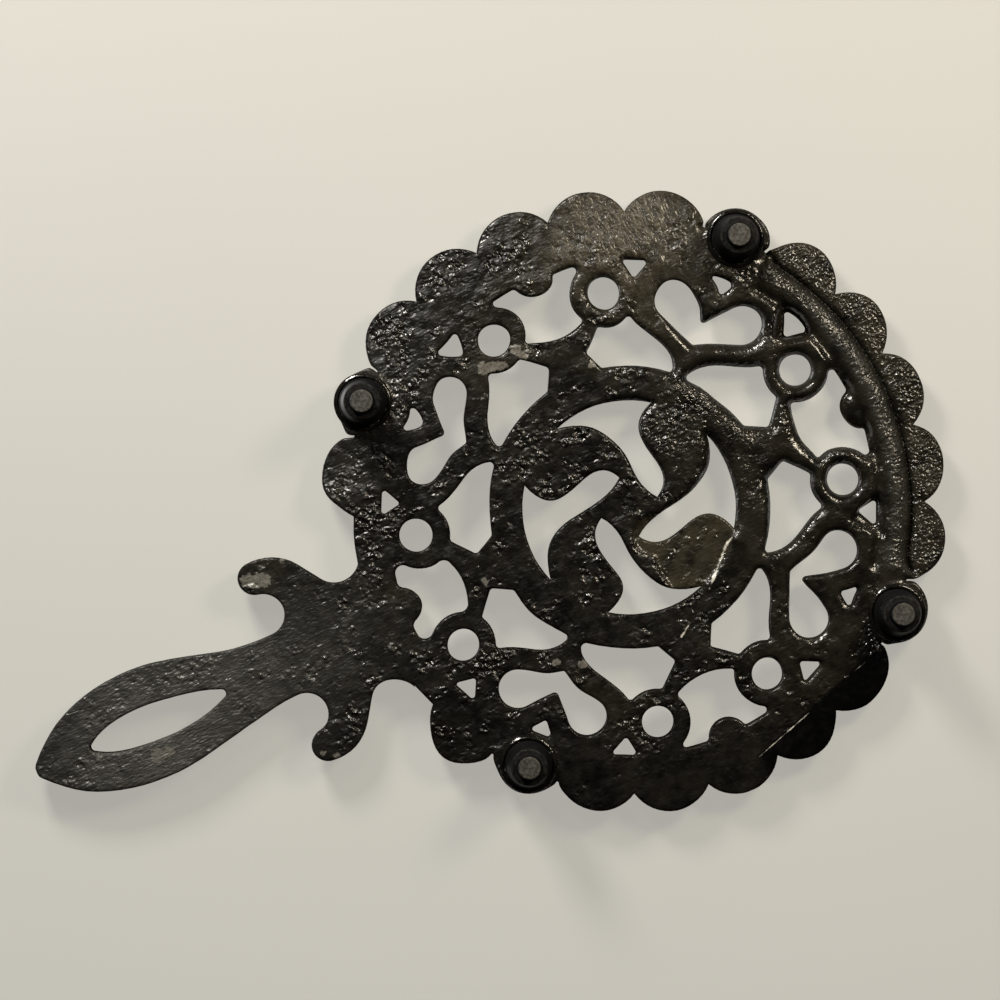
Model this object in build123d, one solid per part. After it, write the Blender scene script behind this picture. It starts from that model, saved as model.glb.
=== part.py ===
from build123d import *

import os
from math import asin, atan2, cos, degrees, hypot, radians, sin, sqrt

# Handled openwork trivet: one iron casting that stands on four pull-off rubber foot caps.
# Millimetres. +Z is up, the caps stand on z = 0, the handle points along -X, and the origin
# lies under the middle of the whole trivet. Outlines are drawn from above, round the plate's centre.

# Overall sizes
lobe_tip_radius = 77.8  # plate centre to the scallop tips
stand_height = 19.5  # table to the top of the plate
plate_thickness = 5.0

# Scalloped rim
lobe_count = 24
lobe_radius = 10.4
lobe_depth = 9.9  # scallop tip to the plain disc behind the scallops
lobes_lost_beside_handle = 1  # on each side of the one on the handle's axis
rim_width = 17.4  # scallop tip to the openwork
narrow_by = 3.2  # the scallops fall short of their circle on one side
narrow_angle = 138.0
narrow_spread = 100.0  # either side of that angle

# Openwork, drawn for this inner radius of the rim and scaled to the plate's own
drawn_rim_radius = 60.4
quarter_turns = (0, 90, 180, 270)
corner_radius = 1.0
handle_corner_radius = 2.0  # in the knob gap beside the handle

# Centre ring and pinwheel, whose opening runs along the ring from the crook to the tail
ring_inner_radius = 26.2
ring_outer_radius = 34.6
blade_crook_angle = -54.7
blade_tail_angle = -109.4
blade_heart = (7.3, 0.3)
blade_crook_side = ((9.0, -13.0), (10.8, -5.6))
blade_tail_side = ((4.4, -5.6), (3.2, -13.4))

# Eyelets on both sides of each trunk
eyelet_circle_radius = 52.8
eyelet_angle = 16.1
eyelet_radius = 3.9
eyelet_ring_radius = 8.0

# Gap round each knob
knob_gap_centre = 60.8
knob_gap_radius = 16.3
knob_centre = 61.3
knob_radius = 4.9

# Kite openings between the ring, the trunk, the eyelet and the heart
kite_trunk_angle = 12.0
kite_tip = (39.0, 4.5)
kite_fork_angle = 212.0
kite_arm_angle = 148.0
kite_arm_side = ((37.2, 21.3), (31.5, 23.8))
kite_heart_angle = 42.2

# Heart openings, drawn along +X and turned onto the leg axes
leg_angle = 45.0
heart_point = 42.4
heart_cusp = 47.8
heart_lobe_centre = (51.3, 9.05)
heart_lobe_radius = 4.8

# Small three-cornered openings beside the eyelets and outside the hearts
side_triangle = ((53.6, 28.5), (51.0, 23.1), (56.5, 22.2))
heart_triangle = ((55.8, 0.0), (59.6, 3.1), (59.6, -3.1))
triangle_corner_radius = 0.7

# Handle, stations measured out from the plain disc
handle_side_shift = 1.5  # the handle's axis lies a little beside the plate's
crook_station = 24.6
neck_half_width = 8.0
crook_radius = 5.1
crook_to_horn_angle = 80.4
horn_end_radius = 4.05
horn_back_radius = 12.2
horn_back_angles = (97.0, 35.0)
horn_straight = 6.7
hollow_radius = 6.0
hollow_end_angle = 345.0
neck_to_eye = 14.5
eye_length = 38.0
eye_half_width = 4.45
eye_profile = ((0.11, 0.43), (0.32, 0.89), (0.59, 1.0), (0.86, 0.66))  # shares of length, half width
eye_end_radius = 1.1
loop_band = 9.35  # iron beside the widest part of the eye
loop_widest = 0.58  # share of the eye's length
tip_band = 14.4  # iron from the eye to the point of the handle, before it is rounded
tip_side_angle = 51.0  # of each side to the handle's axis, at the point
tip_radius = 3.0

# Shallow cuts in the underside, on the far side from the handle
recess_depth = 1.8
recess_half_angle = 37.0
ridge_inset = 9.0  # scallop tip to the ridge that the recess leaves standing
ridge_inner_radius = 61.8
knob_recess_radius = 7.4
panel = ((54.2, 32.0), (48.6, 24.2), (57.6, 20.6))  # thin web round a side triangle
thin_blade_depth = 1.2
thin_blade_leaf = (13.0, 17.0)
thin_blade_leaf_radius = 12.4
thin_blade_neck = (3.2, 8.6)
thin_blade_neck_radius = 5.0

# Ground flat across the underside of two scallops
flat_angle = 71.5
flat_inset = 11.6  # scallop tip to the flat's straight edge
flat_slope = 13.0
flat_span = (-23.5, 17.5)  # along the flat's straight edge
flat_reach = 30.0

# Feet: cast pegs with rubber caps
leg_inset = 7.2  # scallop tip to the leg's axis
leg_boss_margin = 1.1  # round the cap's base
peg_radius = 2.8
peg_end_gap = 0.3
cap_fit_clearance = 0.08
cap_floor = 3.0
cap_base_radius = 6.2
cap_base_band = 1.2
foot_radius = 3.2
foot_flare = 0.3
foot_rounding = 0.3
shoulder_step = 0.7
shoulder_height = 2.6
shoulder_rounding = 0.5
cap_places = {"far_left": 45, "near_left": 135, "near_right": 225, "far_right": 315}

# Places that follow from the sizes
lobe_pitch = 360 / lobe_count
disc_radius = lobe_tip_radius - lobe_depth
openwork_scale = (lobe_tip_radius - rim_width) / drawn_rim_radius
underside = stand_height - plate_thickness
handle_angle = 180
eye_start = disc_radius + crook_station + neck_to_eye
eye_end = eye_start + eye_length
handle_point = eye_end + tip_band
centre = (0, 0)


def polar(middle, radius, angle):
    """Point at an angle, in degrees, on a circle."""
    return (middle[0] + radius * cos(radians(angle)), middle[1] + radius * sin(radians(angle)))


def arc(middle, radius, start, end):
    """Arc on a circle from one angle to another, turning whichever way the angles run."""
    points = [polar(middle, radius, angle) for angle in (start, (start + end) / 2, end)]
    return ThreePointArc(*points)


def tangent_point(point, middle, radius, side):
    """Where a line from a point touches a circle, on its left (side 1) or right (side -1)."""
    across = (middle[0] - point[0], middle[1] - point[1])
    distance = hypot(*across)
    angle = degrees(atan2(across[1], across[0])) + side * degrees(asin(radius / distance))
    return polar(point, sqrt(distance**2 - radius**2), angle)


def rounded_polygon(points, radius):
    return fillet(make_face(Polyline(*points, close=True)).vertices(), radius)


def on_each_quarter(opening):
    return [Rot(0, 0, turn) * opening for turn in quarter_turns]


def both_sides(opening):
    return [opening, mirror(opening, about=Plane.XZ)]


def rim_point(angle, inset):
    """Point at an angle, this far inside the scallop tips."""
    turn = 90 * (angle - narrow_angle) / narrow_spread
    shortfall = narrow_by * cos(radians(turn)) if abs(turn) < 90 else 0
    return polar(centre, lobe_tip_radius - inset - shortfall, angle)


def plate_disc():
    """Disc with its scallops, a smaller round boss where each leg stands, and none at the handle."""
    disc = Circle(disc_radius)
    handle_gap = lobe_pitch * (lobes_lost_beside_handle + 0.5)
    for lobe in range(lobe_count):
        angle = lobe * lobe_pitch
        if angle in cap_places.values():
            disc += Pos(*rim_point(angle, leg_inset)) * Circle(cap_base_radius + leg_boss_margin)
        elif abs(angle - handle_angle) > handle_gap:
            disc += Pos(*rim_point(angle, lobe_radius)) * Circle(lobe_radius)
    return disc


def pinwheel_openings():
    """Four commas between the blades."""
    crook = polar(centre, ring_inner_radius, blade_crook_angle)
    tail = polar(centre, ring_inner_radius, blade_tail_angle)
    edges = [
        arc(centre, ring_inner_radius, blade_tail_angle, blade_crook_angle),
        Spline(crook, *blade_crook_side, blade_heart),
        Spline(blade_heart, *blade_tail_side, tail),
    ]
    return on_each_quarter(make_face(edges))


def eyelets():
    hole = Pos(*polar(centre, eyelet_circle_radius, eyelet_angle)) * Circle(eyelet_radius)
    return [copy for side in both_sides(hole) for copy in on_each_quarter(side)]


def knob_gaps():
    """Gap between two eyelets with a knob standing into it from the rim."""
    gap = Circle(drawn_rim_radius) & Pos(knob_gap_centre, 0) * Circle(knob_gap_radius)
    gap -= Pos(knob_centre, 0) * Circle(knob_radius)
    for side in (1, -1):
        gap -= Pos(*polar(centre, eyelet_circle_radius, side * eyelet_angle)) * Circle(eyelet_ring_radius)
    gap = gap.faces().sort_by(Axis.X)[0]
    gaps = []
    for turn in quarter_turns:
        radius = handle_corner_radius if turn == handle_angle else corner_radius
        gaps.append(Rot(0, 0, turn) * fillet(gap.vertices(), radius))
    return gaps


def kites():
    """Five-sided opening on each side of a trunk."""
    eyelet = polar(centre, eyelet_circle_radius, eyelet_angle)
    fork = polar(eyelet, eyelet_ring_radius, kite_fork_angle)
    arm = polar(eyelet, eyelet_ring_radius, kite_arm_angle)
    inner = polar(centre, ring_outer_radius, kite_heart_angle)
    trunk = polar(centre, ring_outer_radius, kite_trunk_angle)
    edges = [
        Line(trunk, kite_tip),
        Line(kite_tip, fork),
        arc(eyelet, eyelet_ring_radius, kite_fork_angle, kite_arm_angle),
        Spline(arm, *kite_arm_side, inner),
        arc(centre, ring_outer_radius, kite_heart_angle, kite_trunk_angle),
    ]
    kite = make_face(edges)
    kite = fillet(kite.vertices(), corner_radius)
    return [copy for side in both_sides(kite) for copy in on_each_quarter(side)]


def hearts():
    """Open heart on each leg axis: two round lobes drawn out to a point and a cusp."""
    point = (heart_point, 0)
    cusp = (heart_cusp, 0)
    outer = tangent_point(point, heart_lobe_centre, heart_lobe_radius, 1)
    inner = tangent_point(cusp, heart_lobe_centre, heart_lobe_radius, -1)
    half = make_face(Polyline(point, outer, heart_lobe_centre, inner, cusp, close=True))
    half += Pos(*heart_lobe_centre) * Circle(heart_lobe_radius)
    heart = half + mirror(half, about=Plane.XZ)
    heart = fillet(heart.vertices().filter_by_position(Axis.Y, -corner_radius, corner_radius), corner_radius)
    return on_each_quarter(Rot(0, 0, leg_angle) * heart)


def triangles():
    beside = rounded_polygon(side_triangle, triangle_corner_radius)
    outside = Rot(0, 0, leg_angle) * rounded_polygon(heart_triangle, triangle_corner_radius)
    return [copy for shape in both_sides(beside) + [outside] for copy in on_each_quarter(shape)]


def openwork():
    """Every opening of the plate, scaled to the rim."""
    openings = pinwheel_openings() + eyelets() + knob_gaps() + kites() + hearts() + triangles()
    return [scale(opening, by=openwork_scale) for opening in openings]


def handle_outline():
    """Handle with its two horns, drawn as one half and mirrored."""
    crook = (-disc_radius - crook_station, neck_half_width + crook_radius)
    horn_end = polar(crook, crook_radius + horn_end_radius, crook_to_horn_angle)
    back_start, back_end = horn_back_angles
    horn_back = polar(horn_end, horn_end_radius - horn_back_radius, back_start)
    straight_start = polar(horn_back, horn_back_radius, back_end)
    straight_end = polar(straight_start, horn_straight, back_end - 90)
    hollow = polar(straight_end, hollow_radius, back_end)
    hollow_end = polar(hollow, hollow_radius, hollow_end_angle)
    widest = (-eye_start - loop_widest * eye_length, eye_half_width + loop_band)
    point = (-handle_point, 0)
    edges = [
        Spline(widest, point, tangents=((-1, 0), polar(centre, 1, 180 + tip_side_angle))),
        Spline(widest, (crook[0], neck_half_width), tangents=((1, 0), (1, 0))),
        arc(crook, crook_radius, -90, crook_to_horn_angle),
        arc(horn_end, horn_end_radius, crook_to_horn_angle + 180, back_start),
        arc(horn_back, horn_back_radius, back_start, back_end),
        Line(straight_start, straight_end),
        arc(hollow, hollow_radius, back_end + 180, hollow_end_angle),
        Line(hollow_end, (hollow_end[0], 0)),
        Line((hollow_end[0], 0), point),
    ]
    half = make_face(edges)
    outline = half + mirror(half, about=Plane.XZ)
    outline = fillet(outline.vertices().sort_by(Axis.X)[0], tip_radius)
    return Pos(0, handle_side_shift) * outline


def handle_eye():
    """Leaf-shaped eye to hang the trivet by."""
    side = [(-eye_start - along * eye_length, share * eye_half_width) for along, share in eye_profile]
    start = (-eye_start, 0)
    end = (-eye_end, 0)
    half = make_face([Spline(start, *side, end), Line(end, start)])
    eye = half + mirror(half, about=Plane.XZ)
    ends = eye.vertices().filter_by_position(Axis.Y, 0, 0)
    return Pos(0, handle_side_shift) * fillet(ends, eye_end_radius)


def legs():
    return [(place, rim_point(angle, leg_inset)) for place, angle in cap_places.items()]


def scallop_recess():
    """Sector of the rim outside the ridge."""
    beyond_rim = 2 * lobe_tip_radius
    ends = [polar(centre, beyond_rim, side * recess_half_angle) for side in (-1, 1)]
    return make_face(Polyline(centre, *ends, close=True)) - Circle(lobe_tip_radius - ridge_inset)


def web_recess():
    """Knob and two thin webs inside the ridge, drawn with the openwork."""
    recess = Circle(ridge_inner_radius) & Pos(knob_centre, 0) * Circle(knob_recess_radius)
    for web in both_sides(rounded_polygon(panel, corner_radius)):
        recess += web
    return scale(recess, by=openwork_scale)


def thin_blade():
    """One blade of the pinwheel, cast thinner than the rest, drawn with the openwork."""
    blade = Pos(*thin_blade_leaf) * Circle(thin_blade_leaf_radius)
    blade += Pos(*thin_blade_neck) * Circle(thin_blade_neck_radius)
    return scale(Circle(ring_inner_radius) & blade, by=openwork_scale)


def ground_flat():
    """Block whose upper face is the flat, rising outwards from its straight edge."""
    low, high = flat_span
    block = Box(flat_reach, high - low, plate_thickness, align=(Align.MIN, Align.MIN, Align.MAX))
    edge = Pos(lobe_tip_radius - flat_inset, low, underside)
    return Rot(0, 0, flat_angle) * edge * Rot(0, -flat_slope, 0) * block


def casting():
    """Plate, handle and pegs in one pour."""
    outline = plate_disc() + handle_outline() - handle_eye()
    for opening in openwork():
        outline -= opening
    iron = Pos(0, 0, underside) * extrude(outline, plate_thickness)

    iron -= Pos(0, 0, underside) * extrude(scallop_recess() + web_recess(), recess_depth)
    iron -= Pos(0, 0, underside) * extrude(thin_blade(), thin_blade_depth)
    iron -= ground_flat()

    peg_length = underside - cap_floor - peg_end_gap
    for _, (x, y) in legs():
        iron += Pos(x, y, underside - peg_length) * extrude(Circle(peg_radius), peg_length)
    return iron


def foot_cap():
    """Tapered rubber cap with a shoulder, a narrower foot and a blind bore for the peg."""
    foot_root_radius = foot_radius + foot_flare
    profile = Polyline(
        (0, 0),
        (foot_radius, 0),
        (foot_root_radius, shoulder_height),
        (foot_root_radius + shoulder_step, shoulder_height),
        (cap_base_radius, underside - cap_base_band),
        (cap_base_radius, underside),
        (0, underside),
        close=True,
    )
    cap = revolve(Plane.XZ * make_face(profile), Axis.Z)
    foot_ring = cap.edges().filter_by(GeomType.CIRCLE).sort_by(Axis.Z)[0]
    cap = fillet(foot_ring, foot_rounding)
    rings = cap.edges().filter_by(GeomType.CIRCLE)
    shoulder_rings = rings.filter_by_position(Axis.Z, shoulder_height, shoulder_height)
    cap = fillet(shoulder_rings.sort_by(SortBy.RADIUS)[-1], shoulder_rounding)
    bore = extrude(Circle(peg_radius + cap_fit_clearance), underside - cap_floor)
    return cap - Pos(0, 0, cap_floor) * bore


def main():
    os.makedirs("parts", exist_ok=True)
    iron = casting()
    middle = iron.bounding_box().center()
    to_middle = Pos(-middle.X, -middle.Y, 0)
    export_step(to_middle * iron, "parts/casting.step")
    for place, (x, y) in legs():
        export_step(to_middle * Pos(x, y, 0) * foot_cap(), f"parts/foot_cap_{place}.step")


main()
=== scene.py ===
import math

import bmesh
import bpy
import numpy as np
from mathutils import Matrix, Vector, kdtree, noise
from mathutils.bvhtree import BVHTree
from mathutils.geometry import delaunay_2d_cdt

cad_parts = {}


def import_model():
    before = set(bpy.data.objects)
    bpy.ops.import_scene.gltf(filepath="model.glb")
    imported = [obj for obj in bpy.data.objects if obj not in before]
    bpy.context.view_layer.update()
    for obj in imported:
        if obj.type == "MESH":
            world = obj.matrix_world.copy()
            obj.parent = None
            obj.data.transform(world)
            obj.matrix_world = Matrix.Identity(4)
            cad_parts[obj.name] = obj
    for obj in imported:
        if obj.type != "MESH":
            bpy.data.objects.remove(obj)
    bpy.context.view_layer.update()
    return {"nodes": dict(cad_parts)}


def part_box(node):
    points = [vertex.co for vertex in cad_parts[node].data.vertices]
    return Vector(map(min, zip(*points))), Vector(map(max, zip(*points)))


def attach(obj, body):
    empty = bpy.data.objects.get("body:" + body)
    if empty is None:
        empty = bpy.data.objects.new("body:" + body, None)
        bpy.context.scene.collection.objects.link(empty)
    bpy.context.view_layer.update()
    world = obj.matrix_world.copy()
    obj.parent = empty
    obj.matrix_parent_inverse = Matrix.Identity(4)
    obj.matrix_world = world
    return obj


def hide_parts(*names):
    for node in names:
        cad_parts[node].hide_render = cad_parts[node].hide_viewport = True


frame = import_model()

# Handled openwork trivet, seen from below: a sand-cast iron plate under satin black paint, with rubber
# foot caps. Lengths are millimetres, and metres for the stage and its lamps. Places on the casting are
# measured from the plate's centre.
MM = 0.001

# Places taken from the frame
iron_low, iron_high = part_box("casting")
SCALLOP_TIP = 77.8  # radius of the plate over its scallops
PLATE_X = iron_high.x / MM - SCALLOP_TIP
PLATE_Y = iron_low.y / MM + SCALLOP_TIP
TOP = iron_high.z / MM
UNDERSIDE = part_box("foot_cap_far_left")[1].z / MM
PEG_END = iron_low.z / MM
CAPS = ("far_left", "near_left", "near_right", "far_right")

# Reading the CAD casting's top outline
WELD = 0.001  # points nearer than this are one
TOP_SLACK = 0.01  # how far below the top the outline may lie
CORNER = 1.0  # least angle in radians between the faces that meet at the outline
FACING_UP = 0.9  # least height of a unit normal that faces up

# Casting mesh
OUTLINE_STEP = 0.62
DISTANCE_STEP = OUTLINE_STEP / 4  # of the points that distances to the outline are taken from
UNDERSIDE_STEP = 0.72
TOP_STEP = 1.3
INSETS = (0.1, 0.32, 0.65)  # rows of points inside the outline, which carry the rounded edge
TOP_INSETS = (0.15, 0.6)
INSET_KEPT = 0.8  # share of its inset that a row's point keeps from every edge
WALL_SHARES = (0.3, 0.7)  # rows of points on the walls, between the underside and the top
RIDGE_ROWS = (-0.45, -0.1, 0.35, 0.9)  # rows of points along the ridge's outer foot
FLAT_ROWS = (-0.35, 0.0, 0.35)  # rows of points along the ground flat's edge
ROW_GAP = 0.2  # between those rows and the last inset
GRID_GAP, GRID_ROW_GAP = 0.4, 0.45  # of the step, between the grid and the insets or the rows
JITTER = 0.14  # of the step, so that the inner points don't line up
JITTER_SEED = 5
WHOLE_HULL = 0  # the triangulation's kind of result
MERGE_GAP = 1e-5
THINNEST = 1.0  # of the plate
BOX_MARGIN = 0.02  # between the mesh and the CAD casting's box

# Edges and bars
EDGE_ROUND = 0.55  # edges of the flat side and of the top
EDGE_SHADE_REACH = 0.9  # how far over the edge the walls' painted shade reaches: no specular reflection there, so the outlines stay black
BAR_ROUND = 3.2  # the bars on the far side are nearly half round
BAR_FROM, BAR_TO = -6.0, 34.0  # along X, where the bars go from flat to round
BAR_LEFT = (34.0, 8.0)  # along Y, likewise
FLAT_BARS = 0.3  # how round the flat bars are beside the round ones
# Places where the bars stay flat: x, y, reach, strength
FLAT_SPOTS = ((22.0, -44.0, 9.0, 1.0), (31.0, -51.0, 8.0, 1.0), (40.0, -42.0, 7.0, 0.9))
FLAT_SHARP = 0.7  # share of the rounded edge that the ground flat takes away
RIM_FROM = 61.0  # outside this radius the underside slopes away
RIM_SLOPE = 5.5
HANDLE_ANGLES = (150, 156)  # where that slope ends beside the handle
BOSS_RADIUS = 7.4  # flat seat round each cap
BOSS_EDGE = (-0.4, 0.8)  # its soft edge

# Underside relief of the far side
STEP_SOFT = 0.3  # half the width of a soft step
RECESS_DEPTH = 1.9
RECESS_HALF_ANGLE = 37.0
RECESS_ENDS = (RECESS_HALF_ANGLE + 1.5, RECESS_HALF_ANGLE - 0.5)
RIDGE_OUTER = 68.8
RIDGE_INNER = 61.8
RIDGE_DROP = 3.1  # from the ridge's crown to the groove along its outer foot
RIDGE_INNER_DROP = 1.2
RIDGE_INNER_FADE = 2.5
RIDGE_FULL = 0.96  # 1 would make each side of the ridge's section a quarter of an ellipse
CROWN_SPAN = (RIDGE_INNER + 1, RIDGE_INNER + 3)
SCALLOP_SOFT = 1.0  # half the width of the step from the ridge to the scallops
GROOVE_WIDTH = 0.9
# Width of the painted shade along the groove at the ridge's outer foot: black, and without specular
# reflection
GROOVE_SHADE_WIDTH = 0.6
KNOB_CENTRE = 61.3  # along X
KNOB_REACH = 7.4
WEB = ((54.2, 32.0), (48.6, 24.2), (57.6, 20.6))  # corners of the left web; the right one mirrors it
WEB_SOFT = 0.5
THIN_BLADE_DEPTH = 1.2
THIN_BLADE_DISCS = ((13.0, 17.0, 12.4), (3.2, 8.6, 5.0))  # leaf and neck: x, y and radius
RING_INNER = 26.2
FLAT_ANGLE = 71.5  # of the ground flat's direction
FLAT_DISTANCE = 66.2
FLAT_SLOPE = 13.0
FLAT_SPAN = (-23.5, 17.5)
FLAT_END_SOFT = 0.8

# Cast roughness, as wave lengths and heights
LUMPS = ((13.0, 0.22), (5.0, 0.22), (2.4, 0.20))
LUMP_STRETCH = (1, 1, 0.2)
LUMP_OFFSET = 11.3  # where in the noise they start
LUMP_PROUD = 0.3  # how proud a lump may stand, and how far the skin lies inside the CAD underside
CALM_FLAT, CALM_BLADE, CALM_SOFT, CALM_MOST = 0.85, 0.4, 0.5, 0.9  # shares of the lumps taken away
TOP_SKIN = 0.15  # how far the cast top lies below the CAD top
TOP_LUMPS, TOP_LUMP_MOST = 0.35, 0.4  # share of the lumps that the top has, and their highest
WALL_WAVES = ((16.0, 0.20), (5.0, 0.08))
WAVE_OFFSETS = (31.7, 38.7)  # where in the noise they start, along X and along Y

# Where the cast outline leaves the regular drawing: x, y, reach, and the shift in x and y
SHIFTS = (
    # Heart beside the near right cap, and the triangles, eyelet and lobes round it
    (-33.3, -45.4, 4.5, 1.1, 0.7), (-28.9, -35.7, 4.5, -1.0, -0.4), (-46.0, -31.6, 4.5, 1.4, 0.6),
    (-34.5, -29.3, 4.0, -0.6, -1.0), (-41.6, -41.3, 3.5, 1.7, 1.0), (-24.9, -53.4, 4.0, 0.5, 0.9),
    (-14.8, -50.4, 5.0, 0.6, 0.2), (-55.8, -53.5, 7.0, 0.8, 0.5), (-65.8, -38.5, 7.0, 0.7, 0.3),
    # Opening and kite above the ring's near right
    (-6.8, -54.3, 6.0, 0.8, 0.0), (-5.5, -45.7, 5.0, 0.2, -0.6), (3.9, -58.8, 4.0, 0.5, 0.7),
    (6.1, -40.4, 5.0, 0.8, 0.3), (15.3, -42.5, 5.0, -0.3, 0.7), (14.3, -50.7, 5.5, 0.7, 0.3),
    # Openings at the handle's root
    (-38.4, -12.3, 10.0, 0.6, 0.2), (-65.5, -28.0, 5.0, 1.1, -0.5), (-47.1, -5.9, 5.0, -0.3, 0.7),
    (-58.5, -7.8, 4.0, 0.9, 0.4), (-56.0, 0.5, 4.0, 0.6, 0.2), (-32.1, 13.6, 5.0, -0.6, 0.3),
    # Heart beside the near left cap, and the lobe and the notch before it
    (-34.6, 28.9, 4.5, -0.4, 1.0), (-28.5, 35.1, 4.5, -1.3, 0.5), (-23.9, 28.3, 4.5, -0.9, -0.3),
    (-64.9, 37.6, 7.0, -1.4, 0.6), (-68.5, 16.0, 5.0, -0.3, 0.8), (-88.0, 24.0, 10.0, 0.6, 0.2),
    # Handle
    (-118.0, -2.0, 9.0, -0.2, 0.6), (-104.0, 9.0, 10.0, -0.2, 0.6), (-103.0, -9.0, 10.0, -0.2, 0.4),
    # Heart, triangles and kite beside the far right cap
    (34.1, -39.3, 4.0, 1.2, 0.4), (27.7, -46.0, 4.5, 0.5, 0.5), (33.7, -28.6, 6.0, 0.2, -0.5),
    (46.7, -30.0, 4.5, 0.7, 0.1), (40.6, -40.9, 3.5, 1.5, 0.5), (53.0, -24.5, 4.0, 0.9, -0.4),
    (26.0, -24.0, 4.0, -0.9, -0.3), (29.3, -15.4, 6.0, -0.7, 0.3), (56.5, -47.3, 6.0, 0.9, 0.4),
    (43.7, -56.2, 4.5, 0.3, -0.8),
    # Lobes of the far rim and the opening with the knob
    (66.5, -39.6, 6.0, 0.5, -0.3), (74.3, -21.3, 7.0, 0.3, -0.7), (77.2, -4.5, 7.0, 0.2, -0.7),
    (75.1, 15.0, 7.0, 0.3, -0.7), (57.7, 2.5, 5.0, 0.6, 0.5), (44.2, -2.3, 4.5, 0.6, 0.2),
    (46.5, 5.3, 4.0, 0.9, -0.3),
    # Pinwheel
    (18.8, 1.6, 5.0, -0.8, -0.3), (9.2, -17.0, 5.0, 0.6, 0.2), (3.4, -11.8, 5.0, 0.7, -0.2),
    (-3.1, -10.7, 4.5, 0.2, -0.6), (-4.5, 10.7, 5.5, -0.9, 0.4),
    # Heart beside the far left cap, its lobe and the ground lobes
    (34.2, 34.4, 3.5, -2.0, -1.4), (29.6, 41.6, 5.5, -1.0, -0.4), (36.6, 27.5, 4.5, 0.4, 0.6),
    (41.1, 41.1, 3.5, -0.6, 0.1), (57.2, 46.9, 6.0, 0.8, -0.4), (25.9, 68.7, 6.0, -0.7, -0.3),
    (39.6, 66.4, 6.0, -0.4, -0.5),
    # Necks beside the caps, wider than drawn
    (52.1, -43.1, 3.5, 2.4, -1.3), (41.8, -52.4, 3.5, 1.2, -2.6), (-43.7, -53.2, 3.5, -0.7, -2.4),
    (-53.7, -42.9, 3.5, -2.2, -0.1), (53.8, 42.3, 3.5, 2.2, 0.9), (43.3, 52.3, 3.5, 0.7, 2.4),
    (-52.2, 42.4, 3.5, -1.6, -0.5), (-41.3, 53.2, 3.5, -0.5, 1.5),
)
# Small openings that came out larger than drawn: x, y, reach and share
SWELLS = (
    (-24.4, -52.5, 4.0, 0.3), (53.5, -24.6, 4.0, 0.35), (41.5, -40.6, 4.0, 0.25), (-39.9, -40.3, 4.0, 0.35),
)

# Places of the finish: x, y, reach, strength
WORN = (
    (-19.4, -45.2, 1.6, 1.0), (-17.0, -44.8, 1.5, 1.0), (-14.6, -43.9, 1.3, 1.0), (-10.4, -46.6, 1.5, 1.0),
    (-8.8, -44.4, 1.6, 1.0), (-31.5, 27.5, 1.2, 0.9), (-26.1, 30.4, 1.3, 0.9), (-92.8, -20.6, 1.8, 0.9),
    (-90.4, -19.6, 2.0, 0.9), (-88.2, -19.2, 1.6, 0.8), (-82.5, -22.2, 1.6, 0.6), (-92.6, 25.2, 1.1, 0.8),
    (-89.6, 26.9, 1.2, 0.8), (-129.6, 9.4, 2.3, 0.85), (-126.4, 9.6, 1.6, 0.7), (5.6, -35.5, 1.5, 0.7),
    (-39.6, 2.4, 1.4, 0.7),
)
GREY = (
    (-134.0, 6.0, 24.0, 0.9), (-105.0, 2.0, 20.0, 0.4), (-80.0, 0.0, 18.0, 0.2), (-52.0, -52.0, 22.0, 0.15),
)
RIDGE_GREY = 0.22  # strength of the same grey along the ridge
GROUND = (
    (19.9, -66.2, 11.0, 1.0), (32.0, -63.6, 9.0, 0.9), (7.0, -62.0, 6.0, 0.4), (22.0, -50.0, 8.0, 0.45),
    (38.0, -48.0, 6.0, 0.4),
)
BROWN = (
    (19.9, -66.2, 17.0, 1.0), (34.0, -63.0, 14.0, 0.9), (-5.0, -52.0, 12.0, 0.5), (-18.0, -45.0, 7.0, 0.8),
    (24.0, -46.0, 11.0, 0.8), (38.0, -44.0, 8.0, 0.7), (-21.0, 43.5, 6.0, 0.8), (-27.0, 36.0, 4.0, 0.8),
    (-88.0, -21.0, 6.0, 0.6), (-60.0, -5.0, 4.0, 0.6),
)
ROUGH = (
    (42.4, 53.8, 5.0, 1.0), (-39.2, -61.4, 6.0, 0.8), (-44.0, -44.0, 5.0, 0.8), (-8.0, -17.0, 5.0, 0.5),
    (12.0, -20.0, 6.0, 0.5), (42.0, -42.0, 6.0, 0.8), (-19.0, 16.0, 4.0, 0.6), (2.0, -3.0, 4.0, 0.7),
)
SMOOTH = (
    (-14.7, 28.4, 7.0, 0.8), (-34.3, -35.3, 5.0, 0.6), (-2.0, 31.5, 6.0, 0.6), (-20.0, 66.0, 16.0, 0.7),
    (-2.0, 68.0, 14.0, 0.7), (-38.0, 50.0, 12.0, 0.6), (-30.0, 2.0, 6.0, 0.6), (-105.0, 2.0, 26.0, 0.30),
    (-132.0, 6.0, 22.0, 0.30), (-78.0, 0.0, 14.0, 0.45), (17.0, -2.4, 6.0, 0.6), (-26.8, -13.5, 6.0, 0.6),
)
CREASED = (
    (31.0, -11.0, 9.0, 0.9), (24.0, -20.0, 6.0, 0.6), (43.0, 53.8, 5.0, 1.8), (46.0, -44.0, 7.0, 0.8),
    (36.0, -56.0, 6.0, 0.4), (44.0, -22.0, 10.0, 0.4), (30.0, 4.0, 9.0, 0.5), (52.0, 10.0, 8.0, 0.6),
    (15.5, -12.5, 7.5, 1.0), (22.0, -66.0, 14.0, 0.35),
)
CROWN_CREASES, CREASED_MOST = 0.8, 1.8
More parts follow.
